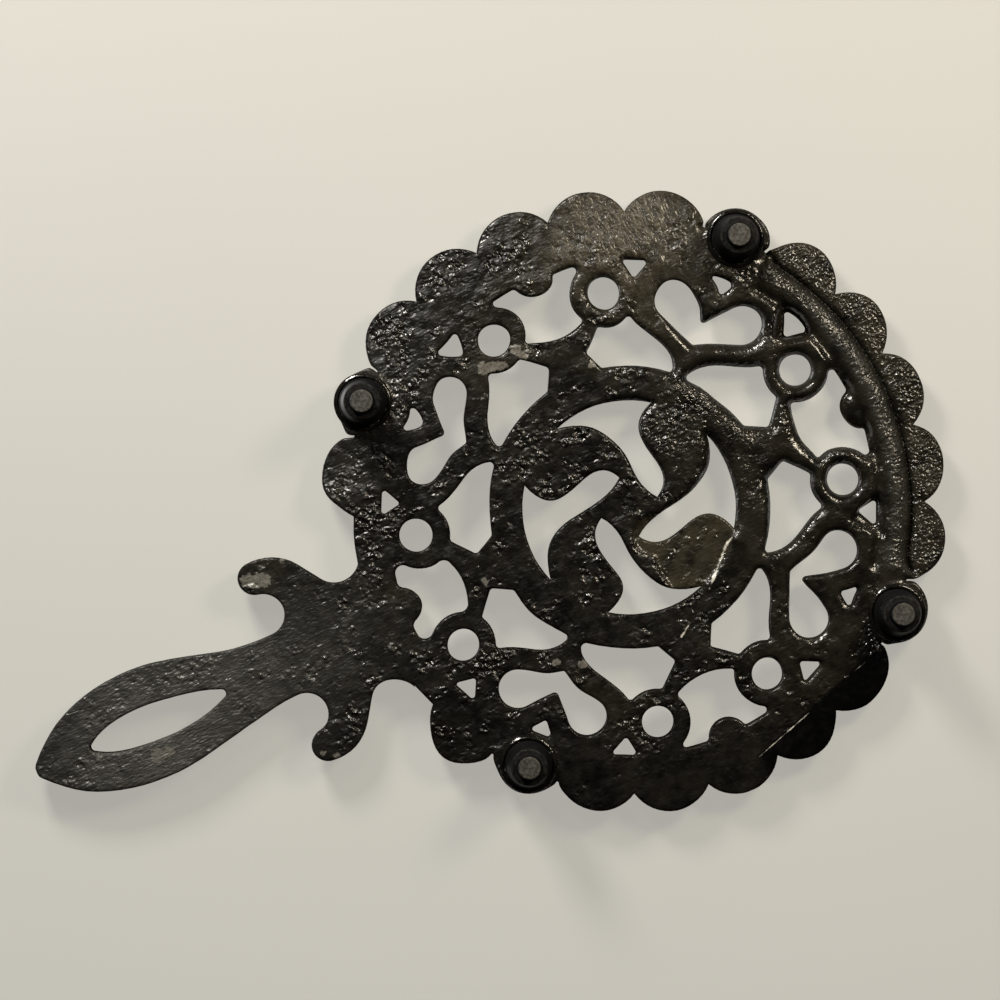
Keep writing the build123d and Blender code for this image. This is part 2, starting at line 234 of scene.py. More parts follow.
# Painted highlights: bright glint lines along edges and steps, as x and y of the start and of the end, and
# width
GLINT_LINES = (
    (22.0, 15.7, 18.3, 17.6, 0.30), (18.3, 17.6, 10.0, 25.9, 0.40), (2.2, 31.8, -1.1, 34.1, 0.30),
    (4.8, 68.5, 20.0, 63.6, 0.17), (34.5, 58.6, 37.7, 57.7, 0.10),
)
GLINT_LINE_NOISE = (0.5, 2.0)
GLINT_LINE_WAVER, GLINT_LINE_OUTER, GLINT_LINE_INNER = 4, 3, 1.6  # widths

# Cast skin: noises as waves to the millimetre, detail and roughness, heights in millimetres
PEBBLE_NOISE, PEBBLE_HEIGHT = (0.66, 1.0, 0.45), 0.82
ZONE_NOISES = ((0.075, 2.0, 0.55), (0.30, 2.0, 0.55))  # where the pebbles cluster
ZONE_ROUGH = 0.3  # more of them in the rough places
CLUSTER_RAMP = (0.94, 1.34, 0.25, 2.4)  # from two values of the zones to two shares of the height
# Masks that take pebbles away, and their shares
QUIET = (("flat", 0.95), ("soft", 0.75), ("blade", 0.4), ("ground", 0.8), ("far", 0.6), ("grey", 0.7))
GRAIN_STRETCH, GRAIN_NOISE, GRAIN_HEIGHT = (0.7, 1.9, 1.2), (1.0, 1.0), 0.10
GREY_GRAIN_HEIGHT = 0.20  # more of it where the iron is grey
CREASE_NOISE, CREASE_HEIGHT = (0.72, 1.0, 0.4), 0.90
STROKE_STRETCH, STROKE_NOISE, STROKE_HEIGHT = (0.95, 0.34, 1.0), (1.0, 2.0, 0.6), 0.5

# Iron colours
IRON_DARK = (0.0030, 0.0028, 0.0024)
IRON_LIGHT = (0.0110, 0.0100, 0.0080)
IRON_BROWN = (0.021, 0.0182, 0.0126)
IRON_BLADE = (0.034, 0.029, 0.019)
IRON_GREY = (0.066, 0.065, 0.061)
IRON_GROUND = (0.060, 0.051, 0.035)
# Painted shade: near black on the ground flat, which faces away from the lamps, and along the groove at the
# ridge's foot
IRON_PAINTED_SHADE = (0.0015, 0.0015, 0.0015)
IRON_BARE = (0.14, 0.132, 0.115)
# Colour of the painted highlights along edges and steps
IRON_GLINT = (0.62, 0.60, 0.54)

# Iron finish: noises as above, and ramps from two values of a noise to two shares, or to 0 and 1
PATCH_NOISE = (0.16, 4.0, 0.6)
LIGHT_RAMP = (0.35, 0.68)
TAN = (("far", 0.45), ("brown", 1.0), ("blade", 1.0), ("scallop", 0.8))  # masks that turn it brown
TAN_RAMP = (0.25, 0.6)
BLADE_RAMP = (0.2, 0.7)
GREY_RAMP = (0.3, 0.7, 0.7, 1.0)
STREAK_NOISE, STREAK_RAMP = (1.0, 3.0, 0.6), (0.3, 0.7)
RAGGED_NOISE, RAGGED_RAMP, RAGGED_SHARE = (0.6, 3.0, 0.65), (0.0, 0.3), 1.5
BARE_RAMP = (0.46, 0.58)
SPECKLE_NOISE, SPECKLE_RAMP = (2.2, 2.0, 0.6), (0.3, 0.6, 0.45, 1.0)
GLOSS_NOISE, GLOSS_RAMP = (0.5, 3.0, 0.6), (0.3, 0.7, 0.20, 0.38)
GLOSS_CHANGES = (("ground", 0.10), ("grey", 0.16), ("far", -0.06), ("bright", -0.16))  # added roughness
IRON_SPECULAR = 0.5

# Rubber finish, with ramps of the height above the tip too
RUBBER_DARK = (0.0050, 0.0050, 0.0052)
# Painted highlight round the cap's shoulder edge, mottled by noise
RUBBER_SHOULDER_SHEEN = (0.026, 0.025, 0.023)
RUBBER_WORN = (0.100, 0.096, 0.087)
SCUFF_NOISE = (1.1, 4.0, 0.65)
SCUFF_HEIGHT, SCUFF_DEPTH = 0.25, 0.2
TIP_RAMP = (0.5, 0.1)
SHOULDER_RISE, SHOULDER_FALL = (2.5, 2.75), (3.5, 2.9)
TIP_SCUFFS = (0.30, 0.72, 0.2, 1.0)
SHOULDER_SHEEN_RAMP = (0.35, 0.65)
RUBBER_ROUGHNESS = (0.3, 0.7, 0.55, 0.70)
RUBBER_SPECULAR = 0.04

# Pegs and collars, as points of radius and height
CAP_TURN = 64
PEG_RADIUS = 2.8
PEG_TIP_RADIUS = 2.4
PEG_CHAMFER = 0.4
PEG_ROOT = 2.0  # how far the peg goes into the plate
CLEARANCE = 0.08
PEG = (
    (0, PEG_END), (PEG_TIP_RADIUS, PEG_END), (PEG_RADIUS - CLEARANCE, PEG_END + PEG_CHAMFER),
    (PEG_RADIUS - CLEARANCE, UNDERSIDE + PEG_ROOT),
)
CAP_BASE_RADIUS = 5.85
COLLAR_ROLL = (  # out from the cap's base and up from the underside
    (0.15, 0.9), (0.17, -0.1), (0.3, -0.28), (0.5, -0.34), (0.75, -0.27), (1.05, -0.07), (1.3, 0.2),
)
COLLAR = tuple((CAP_BASE_RADIUS + out, UNDERSIDE + up) for out, up in COLLAR_ROLL)

# Rubber cap from the tip up, as points, and as arcs of centre, radius, two angles and a number of steps
CAP_TIP = ((0, 0.06), (1.0, 0.05), (1.9, 0.02), (2.3, 0.03))
CAP_TIP_EDGE = ((2.4, 0.38), 0.35, -80, -5, 6)
CAP_FOOT = ((2.82, 1.4), (2.95, 2.2))
CAP_FILLET = ((3.37, 2.2), 0.42, 180, 90, 4)
CAP_SHOULDER = ((4.0, 3.1), 0.46, -90, 0, 6)
CAP_BODY = ((4.55, 3.6), (4.7, 5.5), (4.95, 8.0), (5.2, 10.5), (CAP_BASE_RADIUS - 0.45, 12.0))
CAP_ROLL = ((CAP_BASE_RADIUS - 0.48, 13.0), 0.42, -60, 0, 3)
CAP_BASE = ((CAP_BASE_RADIUS - 0.02, 13.5),)
CAP_RIM = ((CAP_BASE_RADIUS - 0.35, 14.1), 0.33, 0, 90, 4)
BORE = PEG_RADIUS + CLEARANCE
CAP_BORE = ((BORE + 0.3, 14.43), (BORE, 14.2), (BORE, 3.0), (0, 3.0))

# Camera: square to the underside, a metre away
CAMERA_AT = Vector((5.4, -18.8, -985.5)) * MM
CAMERA_AIM = Vector((12.0, -13.1, 14.5)) * MM
CAMERA_ROLL = math.radians(23.52)  # of the picture's right-hand direction from +X towards +Y
CAMERA_LENS = 147.6
CAMERA_SENSOR = 36.0
CAMERA_REACH = 100.0  # metres
PICTURE_RIGHT = Vector((math.cos(CAMERA_ROLL), math.sin(CAMERA_ROLL), 0))
PICTURE_UP = Vector((PICTURE_RIGHT.y, -PICTURE_RIGHT.x, 0))
TO_CAMERA = Vector((0, 0, -1))

# Stage, in metres
STAGE_SIZE = 8.0
BACKDROP_HEIGHT = (TOP + 3.0) * MM
PALE = (0.63, 0.615, 0.56)
PALE_SHADE, PALE_NOISE = 0.97, (0.01, 2.0)
GLOW_SHARE = 0.65  # of the pale stage's tone that shadows don't take away
DIM = (1.0, 0.98, 0.94)
DIM_STRENGTH = 0.012
MIDDLE = Vector((PLATE_X * MM, PLATE_Y * MM, UNDERSIDE * MM))

# Lamps: place from the plate's centre, power, size and colour
LAMPS_BELOW = {  # places as the picture's right, its up and the way to the camera
    "key_from_below": ((-0.27, 0.42, 0.285), 4.2, 0.14, (1.0, 0.96, 0.88)),
    "warm_from_below": ((0.23, 0.20, 0.27), 1.1, 0.10, (1.0, 0.88, 0.68)),
    "fill_from_below": ((-0.14, 0.31, 0.47), 0.36, 0.17, (1.0, 0.97, 0.90)),
}
LAMPS_ABOVE = {
    "key_from_above": ((-0.6, -0.5, 0.9), 14.0, 0.5, (1, 1, 1)),
    "fill_from_above": ((0.8, 0.6, 0.7), 5.0, 0.6, (1, 1, 1)),
}


def smooth(low, high, value):
    """0 below low, 1 above high, and a smooth step between them."""
    t = np.clip((value - low) / (high - low), 0, 1)
    return t * t * (3 - 2 * t)


def below(limit, soft, value):
    """1 below a limit and 0 above it, with a smooth step."""
    return smooth(limit + soft, limit - soft, value)


def perlin(points, length, offset):
    """Noise of this wave length at points in millimetres."""
    scaled = points / length + offset
    return np.array([noise.noise(p) for p in scaled])


def link(name, data):
    piece = bpy.data.objects.new(name, data)
    bpy.context.scene.collection.objects.link(piece)
    return piece


def shade_smooth(mesh):
    mesh.polygons.foreach_set("use_smooth", np.ones(len(mesh.polygons), bool))


def store(mesh, masks):
    """Keep masks on a mesh's points, where its material reads them."""
    for name, values in masks.items():
        mesh.attributes.new(name, "FLOAT", "POINT").data.foreach_set("value", values.astype(np.float32))


def cap_axis(place):
    """x and y of a cap's axis, in metres."""
    low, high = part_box(f"foot_cap_{place}")
    return (low.x + high.x) / 2, (low.y + high.y) / 2


def cast_outline():
    """Closed loops round the CAD casting's top, with the iron on their left, and the casting as a tree."""
    shape = bmesh.new()
    shape.from_mesh(frame["nodes"]["casting"].data)
    bmesh.ops.remove_doubles(shape, verts=shape.verts, dist=WELD * MM)
    shape.normal_update()
    top = (TOP - TOP_SLACK) * MM
    follows = {}
    for edge in shape.edges:
        if min(end.co.z for end in edge.verts) > top and edge.calc_face_angle(0) > CORNER:
            corner = next(c for c in edge.link_loops if c.face.normal.z > FACING_UP)
            follows[corner.vert] = corner.link_loop_next.vert
    loops = []
    while follows:
        start, at = follows.popitem()
        loop = [start]
        while at is not start:
            loop.append(at)
            at = follows.pop(at)
        loops.append(np.array([vertex.co.xy for vertex in loop]) / MM)
    tree = BVHTree.FromBMesh(shape)
    shape.free()
    return loops, tree


def divided(loop, step):
    """The loop with its long edges divided."""
    points = []
    for a, b in zip(loop, np.roll(loop, -1, axis=0)):
        steps = max(1, math.ceil(np.linalg.norm(b - a) / step))
        points += [a + (b - a) * k / steps for k in range(steps)]
    return np.array(points)


def inset(loop, distance):
    """The loop's points moved into the iron."""
    along = np.roll(loop, -1, axis=0) - np.roll(loop, 1, axis=0)
    left = np.column_stack((-along[:, 1], along[:, 0]))
    return loop + left / np.linalg.norm(left, axis=1)[:, None] * distance


def point_tree(points):
    tree = kdtree.KDTree(len(points))
    for index, (x, y) in enumerate(points):
        tree.insert((x, y, 0), index)
    tree.balance()
    return tree


def distances(points, tree):
    return np.array([tree.find((x, y, 0))[2] for x, y in points[:, :2]])


def in_iron(points, tree):
    """Which points lie in the casting's plan, by a ray down from above each."""
    down = Vector((0, 0, -1))
    starts = [Vector((x * MM, y * MM, 2 * TOP * MM)) for x, y in points]
    return np.array([tree.ray_cast(start, down)[0] is not None for start in starts])


def hex_grid(step):
    """Even points over the casting's plan, a little disordered."""
    low, high = iron_low / MM, iron_high / MM
    rows = np.arange(low.y, high.y, step * math.sqrt(3) / 2)
    columns = np.arange(low.x, high.x, step)
    points = np.array([(x + step / 2 * (k % 2), y) for k, y in enumerate(rows) for x in columns])
    return points + np.random.default_rng(JITTER_SEED).uniform(-JITTER * step, JITTER * step, points.shape)


def relief_rows():
    """Rows of points on both sides of the sharp lines of the underside's relief."""
    rows = []
    half = math.radians(RECESS_HALF_ANGLE)
    for out in RIDGE_ROWS:
        radius = RIDGE_OUTER + out
        angles = np.arange(-half, half, OUTLINE_STEP / radius)
        rows.append(np.column_stack((radius * np.cos(angles), radius * np.sin(angles))))
    turn = math.radians(FLAT_ANGLE)
    along = np.arange(*FLAT_SPAN, OUTLINE_STEP)
    for out in FLAT_ROWS:
        distance = FLAT_DISTANCE + out
        x = distance * math.cos(turn) - along * math.sin(turn)
        y = distance * math.sin(turn) + along * math.cos(turn)
        rows.append(np.column_stack((x, y)))
    return np.vstack(rows) + (PLATE_X, PLATE_Y)


def triangulated(loops, inner, iron):
    """Points and triangles of the iron between the loops, through the inner points too."""
    points = np.vstack(loops + [inner])
    edges, start = [], 0
    for loop in loops:
        count = len(loop)
        edges += [(start + k, start + (k + 1) % count) for k in range(count)]
        start += count
    corners = [Vector(p) for p in points]
    made, _, faces, *_ = delaunay_2d_cdt(corners, edges, [], WHOLE_HULL, MERGE_GAP)
    made, faces = np.array(made), np.array(faces)
    return made, faces[in_iron(made[faces].mean(axis=1), iron)]


def face_points(loops, tree, iron, insets, step, rows=None):
    """Inner points of one face: rows that follow the outline, rows along the relief, and an even grid."""
    parts = []
    for distance in insets:
        row = np.vstack([inset(loop, distance) for loop in loops])
        parts.append(row[distances(row, tree) > INSET_KEPT * distance])
    if rows is not None:
        parts.append(rows[in_iron(rows, iron) & (distances(rows, tree) > insets[-1] + ROW_GAP)])
    grid = hex_grid(step)
    grid = grid[distances(grid, tree) > insets[-1] + GRID_GAP * step]
    grid = grid[in_iron(grid, iron)]
    if rows is not None:
        grid = grid[distances(grid, point_tree(parts[-1])) > GRID_ROW_GAP * step]
    return np.vstack(parts + [grid])


def cast_prism():
    """The casting's plan as points, their heights from 0 to 1, faces, and distances to the outline."""
    loops, iron = cast_outline()
    loops = [divided(loop, OUTLINE_STEP) for loop in loops]
    tree = point_tree(np.vstack([divided(loop, DISTANCE_STEP) for loop in loops]))
    outline = np.vstack(loops)

    under = face_points(loops, tree, iron, INSETS, UNDERSIDE_STEP, relief_rows())
    under, under_faces = triangulated(loops, under, iron)
    upper = face_points(loops, tree, iron, TOP_INSETS, TOP_STEP)
    upper, upper_faces = triangulated(loops, upper, iron)
    plan = np.vstack([under, upper] + [outline] * len(WALL_SHARES))
    counts = [len(under), len(upper)] + [len(outline)] * len(WALL_SHARES)
    shares = np.repeat((0.0, 1.0) + WALL_SHARES, counts)

    first = len(under) + len(upper)
    rows = [0] + [first + k * len(outline) for k in range(len(WALL_SHARES))] + [len(under)]
    faces = [tuple(face[::-1]) for face in under_faces.tolist()]
    faces += [tuple(face) for face in (upper_faces + len(under)).tolist()]
    start = 0
    for loop in loops:
        count = len(loop)
        for k in range(count):
            a, b = start + k, start + (k + 1) % count
            faces += [(low + a, low + b, high + b, high + a) for low, high in zip(rows, rows[1:])]
        start += count
    return plan, shares, faces, distances(plan, tree)


def rounding(distance, radius):
    """How far a rounded edge of this radius falls away, at a distance inside the edge."""
    inside = np.clip(radius - distance, 0, radius)
    return radius - np.sqrt(np.maximum(radius * radius - inside * inside, 0))


def inside_triangle(x, y, corners, soft):
    """1 inside a triangle and 0 outside it, with a soft edge."""
    middle = np.mean(corners, axis=0)
    result = np.ones_like(x)
    for (ax, ay), (bx, by) in zip(corners, corners[1:] + corners[:1]):
        across = np.array((by - ay, ax - bx))
        across /= np.linalg.norm(across)
        if (middle - (ax, ay)) @ across < 0:
            across = -across
        depth = (x - ax) * across[0] + (y - ay) * across[1]
        result *= smooth(-soft, soft, depth)
    return result


def patch(x, y, px, py, reach):
    """1 at a place, and 0 some way from it."""
    return np.exp(-((x - px) ** 2 + (y - py) ** 2) / reach**2)


def spread(x, y, places):
    """Sum of soft round patches."""
    return sum(strength * patch(x, y, px, py, reach) for px, py, reach, strength in places)


def shifted(points):
    """Points with the cast outline's own shifts."""
    x, y = points[:, 0] - PLATE_X, points[:, 1] - PLATE_Y
    moved = points.copy()
    for px, py, reach, dx, dy in SHIFTS:
        moved[:, :2] += patch(x, y, px, py, reach)[:, None] * (dx, dy)
    x, y = moved[:, 0] - PLATE_X, moved[:, 1] - PLATE_Y
    for px, py, reach, share in SWELLS:
        moved[:, :2] += share * (patch(x, y, px, py, reach) * (x - px, y - py)).T
    return moved


def ridge_relief(radius, angle):
    """Round ridge, groove along its outer foot and the recessed scallops beyond, on the far side."""
    sector = smooth(*RECESS_ENDS, np.abs(angle))
    half = (RIDGE_OUTER - RIDGE_INNER) / 2
    across = np.clip((radius - RIDGE_INNER - half) / half, -1, 1)
    fall = (1 - np.sqrt(1 - RIDGE_FULL * across**2)) / (1 - math.sqrt(1 - RIDGE_FULL))
    drop = np.where(across > 0, RIDGE_DROP, RIDGE_INNER_DROP) * fall
    inner = smooth(RIDGE_INNER - RIDGE_INNER_FADE, RIDGE_INNER, radius)
    past = np.maximum(radius - RIDGE_OUTER, 0)
    outer = RECESS_DEPTH + (RIDGE_DROP - RECESS_DEPTH) * np.exp(-((past / GROOVE_WIDTH) ** 2))
    return sector, sector * np.where(radius > RIDGE_OUTER, outer, drop * inner)


def ground_flat(x, y):
    """Depth of the flat that is ground on the left side's lobes, and its mask."""
    turn = math.radians(FLAT_ANGLE)
    out = x * math.cos(turn) + y * math.sin(turn) - FLAT_DISTANCE
    along = y * math.cos(turn) - x * math.sin(turn)
    start, end = FLAT_SPAN
    span = smooth(start - FLAT_END_SOFT, start + FLAT_END_SOFT, along) * below(end, FLAT_END_SOFT, along)
    depth = np.maximum(out, 0) * math.tan(math.radians(FLAT_SLOPE)) * span
    return depth, span * smooth(-STEP_SOFT, STEP_SOFT, out)


def underside_relief(x, y):
    """Depth of the underside below its flat level, with masks of its parts."""
    radius = np.hypot(x, y)
    angle = np.degrees(np.arctan2(y, x))
    sector, depth = ridge_relief(radius, angle)

    knob = below(KNOB_REACH, STEP_SOFT, np.hypot(x - KNOB_CENTRE, y))
    inner = smooth(RIDGE_INNER + STEP_SOFT, RIDGE_INNER - 2 * STEP_SOFT, radius)
    webs = [inside_triangle(x, side * y, WEB, WEB_SOFT) for side in (1, -1)]
    depth = np.maximum(depth, RECESS_DEPTH * np.maximum(knob * inner, np.maximum(*webs)))

    leaf, neck = [below(r, STEP_SOFT, np.hypot(x - cx, y - cy)) for cx, cy, r in THIN_BLADE_DISCS]
    blade = np.maximum(leaf, neck) * below(RING_INNER, STEP_SOFT, radius)
    depth = np.maximum(depth, THIN_BLADE_DEPTH * blade)

    handle = smooth(*HANDLE_ANGLES, np.abs(angle))
    rim = np.maximum(radius - RIM_FROM, 0) * (1 - sector) * (1 - handle)
    depth = depth + rim * math.tan(math.radians(RIM_SLOPE))

    flat_depth, flat = ground_flat(x, y)
    depth = np.maximum(depth, flat_depth)
    seat_from, seat_to = [BOSS_RADIUS + edge for edge in BOSS_EDGE]
    for place in CAPS:
        cap_x, cap_y = cap_axis(place)
        px, py = cap_x / MM - PLATE_X, cap_y / MM - PLATE_Y
        depth = depth * smooth(seat_from, seat_to, np.hypot(x - px, y - py))
    return depth, flat, blade, sector


def casting_mesh():
    """The casting with rounded edges, the far side's relief, cast roughness and masks for its finish."""
    plan, share, faces, edge = cast_prism()
    x, y = plan[:, 0] - PLATE_X, plan[:, 1] - PLATE_Y
    radius = np.hypot(x, y)
    depth, flat, blade, sector = underside_relief(x, y)
    far = smooth(BAR_FROM, BAR_TO, x)
    rim = smooth(RIDGE_OUTER - SCALLOP_SOFT, RIDGE_OUTER + SCALLOP_SOFT, radius)
    groove_shade = sector * np.exp(-(((radius - RIDGE_OUTER - GROOVE_SHADE_WIDTH / 2) / GROOVE_SHADE_WIDTH) ** 2))
    crown = smooth(*CROWN_SPAN, radius) * (1 - rim)
    soft = np.clip(spread(x, y, SMOOTH), 0, 1)
    bars = far * (FLAT_BARS + (1 - FLAT_BARS) * smooth(*BAR_LEFT, y)) * (1 - rim) * (1 - blade)
    bars *= 1 - np.clip(spread(x, y, FLAT_SPOTS), 0, 1)
    bar_round = EDGE_ROUND + (BAR_ROUND - EDGE_ROUND) * bars
    depth = depth + rounding(edge, bar_round) * (1 - FLAT_SHARP * flat)

    calm = 1 - np.clip(CALM_FLAT * flat + CALM_BLADE * blade + CALM_SOFT * soft, 0, CALM_MOST)
    points = np.column_stack((plan, UNDERSIDE + share * (TOP - UNDERSIDE)))
    lumps = sum(height * perlin(points * LUMP_STRETCH, length, LUMP_OFFSET) for length, height in LUMPS)
    low = UNDERSIDE + depth + np.maximum(lumps * calm, -LUMP_PROUD) + LUMP_PROUD
    high = TOP - rounding(edge, EDGE_ROUND) - TOP_SKIN + TOP_LUMPS * np.minimum(lumps, TOP_LUMP_MOST)
    low = np.minimum(low, high - THINNEST)

    points = shifted(points)
    x, y = points[:, 0] - PLATE_X, points[:, 1] - PLATE_Y
    for axis, offset in enumerate(WAVE_OFFSETS):
        points[:, axis] += sum(size * perlin(points, length, offset) for length, size in WALL_WAVES)
    points[:, 2] = low + share * (high - low)
    points = np.clip(points, np.array(iron_low) / MM + BOX_MARGIN, np.array(iron_high) / MM - BOX_MARGIN)

    creases = sector * np.maximum(rim, CROWN_CREASES * crown) + spread(x, y, CREASED)
    masks = {
        "flat": flat,
        "blade": blade,
        "far": far,
        "scallop": sector * rim,
        "rough": spread(x, y, ROUGH),
        "worn": spread(x, y, WORN),
        "ground": spread(x, y, GROUND),
        "brown": spread(x, y, BROWN),
        "grey": np.clip(spread(x, y, GREY) + RIDGE_GREY * sector * crown, 0, 1),
        "under": np.ones_like(x),
        "creased": np.clip(creases, 0, CREASED_MOST),
        "groove_shade": groove_shade,
    }
    under = (share == 0).astype(float)
    masks = {name: values * under for name, values in masks.items()}
    masks["soft"] = soft
    wall = (share > 0) & (share < 1)
    # Painted shade: the walls, the rounded edges and the groove get no specular reflection, so they show
    # black
    masks["edge"] = np.maximum(np.where(wall, 1.0, smooth(EDGE_SHADE_REACH, 0, edge)), masks["groove_shade"])

    mesh = bpy.data.meshes.new("casting_iron")
    mesh.from_pydata((points * MM).tolist(), [], faces)
    store(mesh, masks)
    shade_smooth(mesh)
    mesh.update()
    return mesh


def turned(name, profile):
    """Mesh turned about +Z from points of radius and height."""
    shape = bmesh.new()
    angles = [2 * math.pi * k / CAP_TURN for k in range(CAP_TURN)]
    rings = []
    for radius, height in profile:
        if radius == 0:
            rings.append([shape.verts.new((0, 0, height * MM))] * CAP_TURN)
        else:
            ring = [Vector((radius * math.cos(a), radius * math.sin(a), height)) for a in angles]
            rings.append([shape.verts.new(point * MM) for point in ring])
    for lower, upper in zip(rings, rings[1:]):
        for k in range(CAP_TURN):
            after = (k + 1) % CAP_TURN
            corners = [lower[k], lower[after], upper[after], upper[k]]
            shape.faces.new(list(dict.fromkeys(corners)))
    bmesh.ops.recalc_face_normals(shape, faces=shape.faces)
    mesh = bpy.data.meshes.new(name)
    shape.to_mesh(mesh)
    shape.free()
    shade_smooth(mesh)
    return mesh


def smooth_iron(name, profile):
    """Turned iron piece whose skin is smoother and brighter than the casting's."""
    mesh = turned(name, profile)
    full = np.ones(len(mesh.vertices))
    store(mesh, {"soft": full, "bright": full})
    return mesh


def arc_points(centre, radius, start, end, steps):
    """Points on an arc of a profile, angles in degrees."""
    angles = [math.radians(start + (end - start) * k / steps) for k in range(steps + 1)]
    return [(centre[0] + radius * math.cos(a), centre[1] + radius * math.sin(a)) for a in angles]


def cap_mesh(name):
    """Rubber cap: worn tip, foot, shoulder, tapered body, rolled base and blind bore."""
    profile = [*CAP_TIP, *arc_points(*CAP_TIP_EDGE)]
    profile += [*CAP_FOOT, *arc_points(*CAP_FILLET), *arc_points(*CAP_SHOULDER)]
    profile += [*CAP_BODY, *arc_points(*CAP_ROLL)]
    profile += [*CAP_BASE, *arc_points(*CAP_RIM), *CAP_BORE]
    return turned(name, profile)


def material(name):
    made = bpy.data.materials.new(name)
    made.use_nodes = True
    made.node_tree.nodes.clear()
    return made


class Nodes:
    """Short forms for building a node tree."""

    def __init__(self, tree):
        self.tree = tree

    def add(self, kind, **settings):
        node = self.tree.nodes.new(kind)
        for key, value in settings.items():
            setattr(node, key, value)
        return node

    def join(self, source, target):
        self.tree.links.new(source, target)

    def put(self, value, socket):
        if isinstance(value, bpy.types.NodeSocket):
            self.join(value, socket)
        else:
            socket.default_value = value

    def math(self, operation, a, b=0.0, clamp=False):
        node = self.add("ShaderNodeMath", operation=operation, use_clamp=clamp)
        self.put(a, node.inputs[0])
        self.put(b, node.inputs[1])
        return node.outputs[0]

    def fold(self, operation, values):
        result = values[0]
        for value in values[1:]:
            result = self.math(operation, result, value)
        return result

    def plus(self, *values):
        return self.fold("ADD", values)

    def times(self, *values):
        return self.fold("MULTIPLY", values)

    def largest(self, *values):
        return self.fold("MAXIMUM", values)

    def at_most(self, value, limit):
        return self.math("MINIMUM", value, limit)

    def rest(self, value):
        """What is left of 1."""
        return self.math("SUBTRACT", 1.0, value, clamp=True)

    def centred(self, value):
        """Noise about 0 instead of about a half."""
        return self.math("SUBTRACT", value, 0.5)

    def place(self, scale=(1, 1, 1)):
        """Object coordinates in millimetres, stretched."""
        node = self.add("ShaderNodeMapping")
        node.inputs["Scale"].default_value = [s / MM for s in scale]
        self.join(self.add("ShaderNodeTexCoord").outputs["Object"], node.inputs["Vector"])
        return node.outputs[0]

    def noise(self, place, scale, detail, roughness=0.5):
        node = self.add("ShaderNodeTexNoise")
        self.join(place, node.inputs["Vector"])
        node.inputs["Scale"].default_value = scale
        node.inputs["Detail"].default_value = detail
        node.inputs["Roughness"].default_value = roughness
        return node.outputs["Fac"]

    def ramp(self, value, low, high, out_low=0.0, out_high=1.0):
        node = self.add("ShaderNodeMapRange", interpolation_type="SMOOTHSTEP")
        for number, item in enumerate((value, low, high, out_low, out_high)):
            self.put(item, node.inputs[number])
        return node.outputs[0]

    def mix(self, factor, a, b):
        node = self.add("ShaderNodeMix", data_type="RGBA")
        for socket, value in (("Factor_Float", factor), ("A_Color", a), ("B_Color", b)):
            target = next(s for s in node.inputs if s.identifier == socket)
            self.put(value if isinstance(value, bpy.types.NodeSocket) else (*value, 1), target)
        return next(s for s in node.outputs if s.identifier == "Result_Color")

    def bump(self, height, distance):
        node = self.add("ShaderNodeBump")
        node.inputs["Strength"].default_value = 1.0
        node.inputs["Distance"].default_value = distance
        self.join(height, node.inputs["Height"])
        return node.outputs[0]

    def surface(self, shader):
        self.join(shader.outputs[0], self.add("ShaderNodeOutputMaterial").inputs["Surface"])

    def mask(self, name):
        return self.add("ShaderNodeAttribute", attribute_name=name).outputs["Fac"]

    def masks(self, shares):
        """Named masks, each taken by its share."""
        return [self.times(self.mask(name), share) for name, share in shares]

    def painted_glint_line(self, start, end, width):
        """1 along a wavering line between two places on the underside."""
        along = Vector((end[0] - start[0], end[1] - start[1], 0))
        point = self.place((1, 1, 0))
        away = self.add("ShaderNodeVectorMath", operation="SUBTRACT")
        self.join(point, away.inputs[0])
        away.inputs[1].default_value = (start[0] + PLATE_X, start[1] + PLATE_Y, 0)
        share = self.add("ShaderNodeVectorMath", operation="DOT_PRODUCT")
        self.join(away.outputs[0], share.inputs[0])
        share.inputs[1].default_value = along / along.length_squared
        foot = self.add("ShaderNodeVectorMath", operation="SCALE")
        foot.inputs[0].default_value = along
        self.join(self.at_most(self.largest(share.outputs["Value"], 0.0), 1.0), foot.inputs["Scale"])
        gap = self.add("ShaderNodeVectorMath", operation="DISTANCE")
        self.join(away.outputs[0], gap.inputs[0])
        self.join(foot.outputs[0], gap.inputs[1])
        waver = self.times(self.noise(point, *GLINT_LINE_NOISE), GLINT_LINE_WAVER * width)
        return self.ramp(self.plus(gap.outputs["Value"], waver), GLINT_LINE_OUTER * width, GLINT_LINE_INNER * width)


def cast_height(n):
    """Height of the cast skin: pebbles in clusters, fine grain, creases and grinding strokes."""
    place = n.place()
    pebbles = n.centred(n.noise(place, *PEBBLE_NOISE))
    grain = n.centred(n.noise(n.place(GRAIN_STRETCH), *GRAIN_NOISE))
    creases = n.math("ABSOLUTE", n.centred(n.noise(place, *CREASE_NOISE)))
    strokes = n.centred(n.noise(n.place(STROKE_STRETCH), *STROKE_NOISE))

    zones = n.plus(*[n.noise(place, *zone) for zone in ZONE_NOISES], n.times(n.mask("rough"), ZONE_ROUGH))
    clusters = n.ramp(zones, *CLUSTER_RAMP)
    quiet = n.largest(*n.masks(QUIET))
    grain_height = n.plus(GRAIN_HEIGHT, n.times(n.mask("grey"), GREY_GRAIN_HEIGHT))
    return n.plus(
        n.times(pebbles, clusters, n.rest(quiet), PEBBLE_HEIGHT),
        n.times(grain, n.rest(n.mask("flat")), grain_height),
        n.times(creases, n.mask("creased"), CREASE_HEIGHT),
        n.times(strokes, n.mask("ground"), STROKE_HEIGHT),
    )


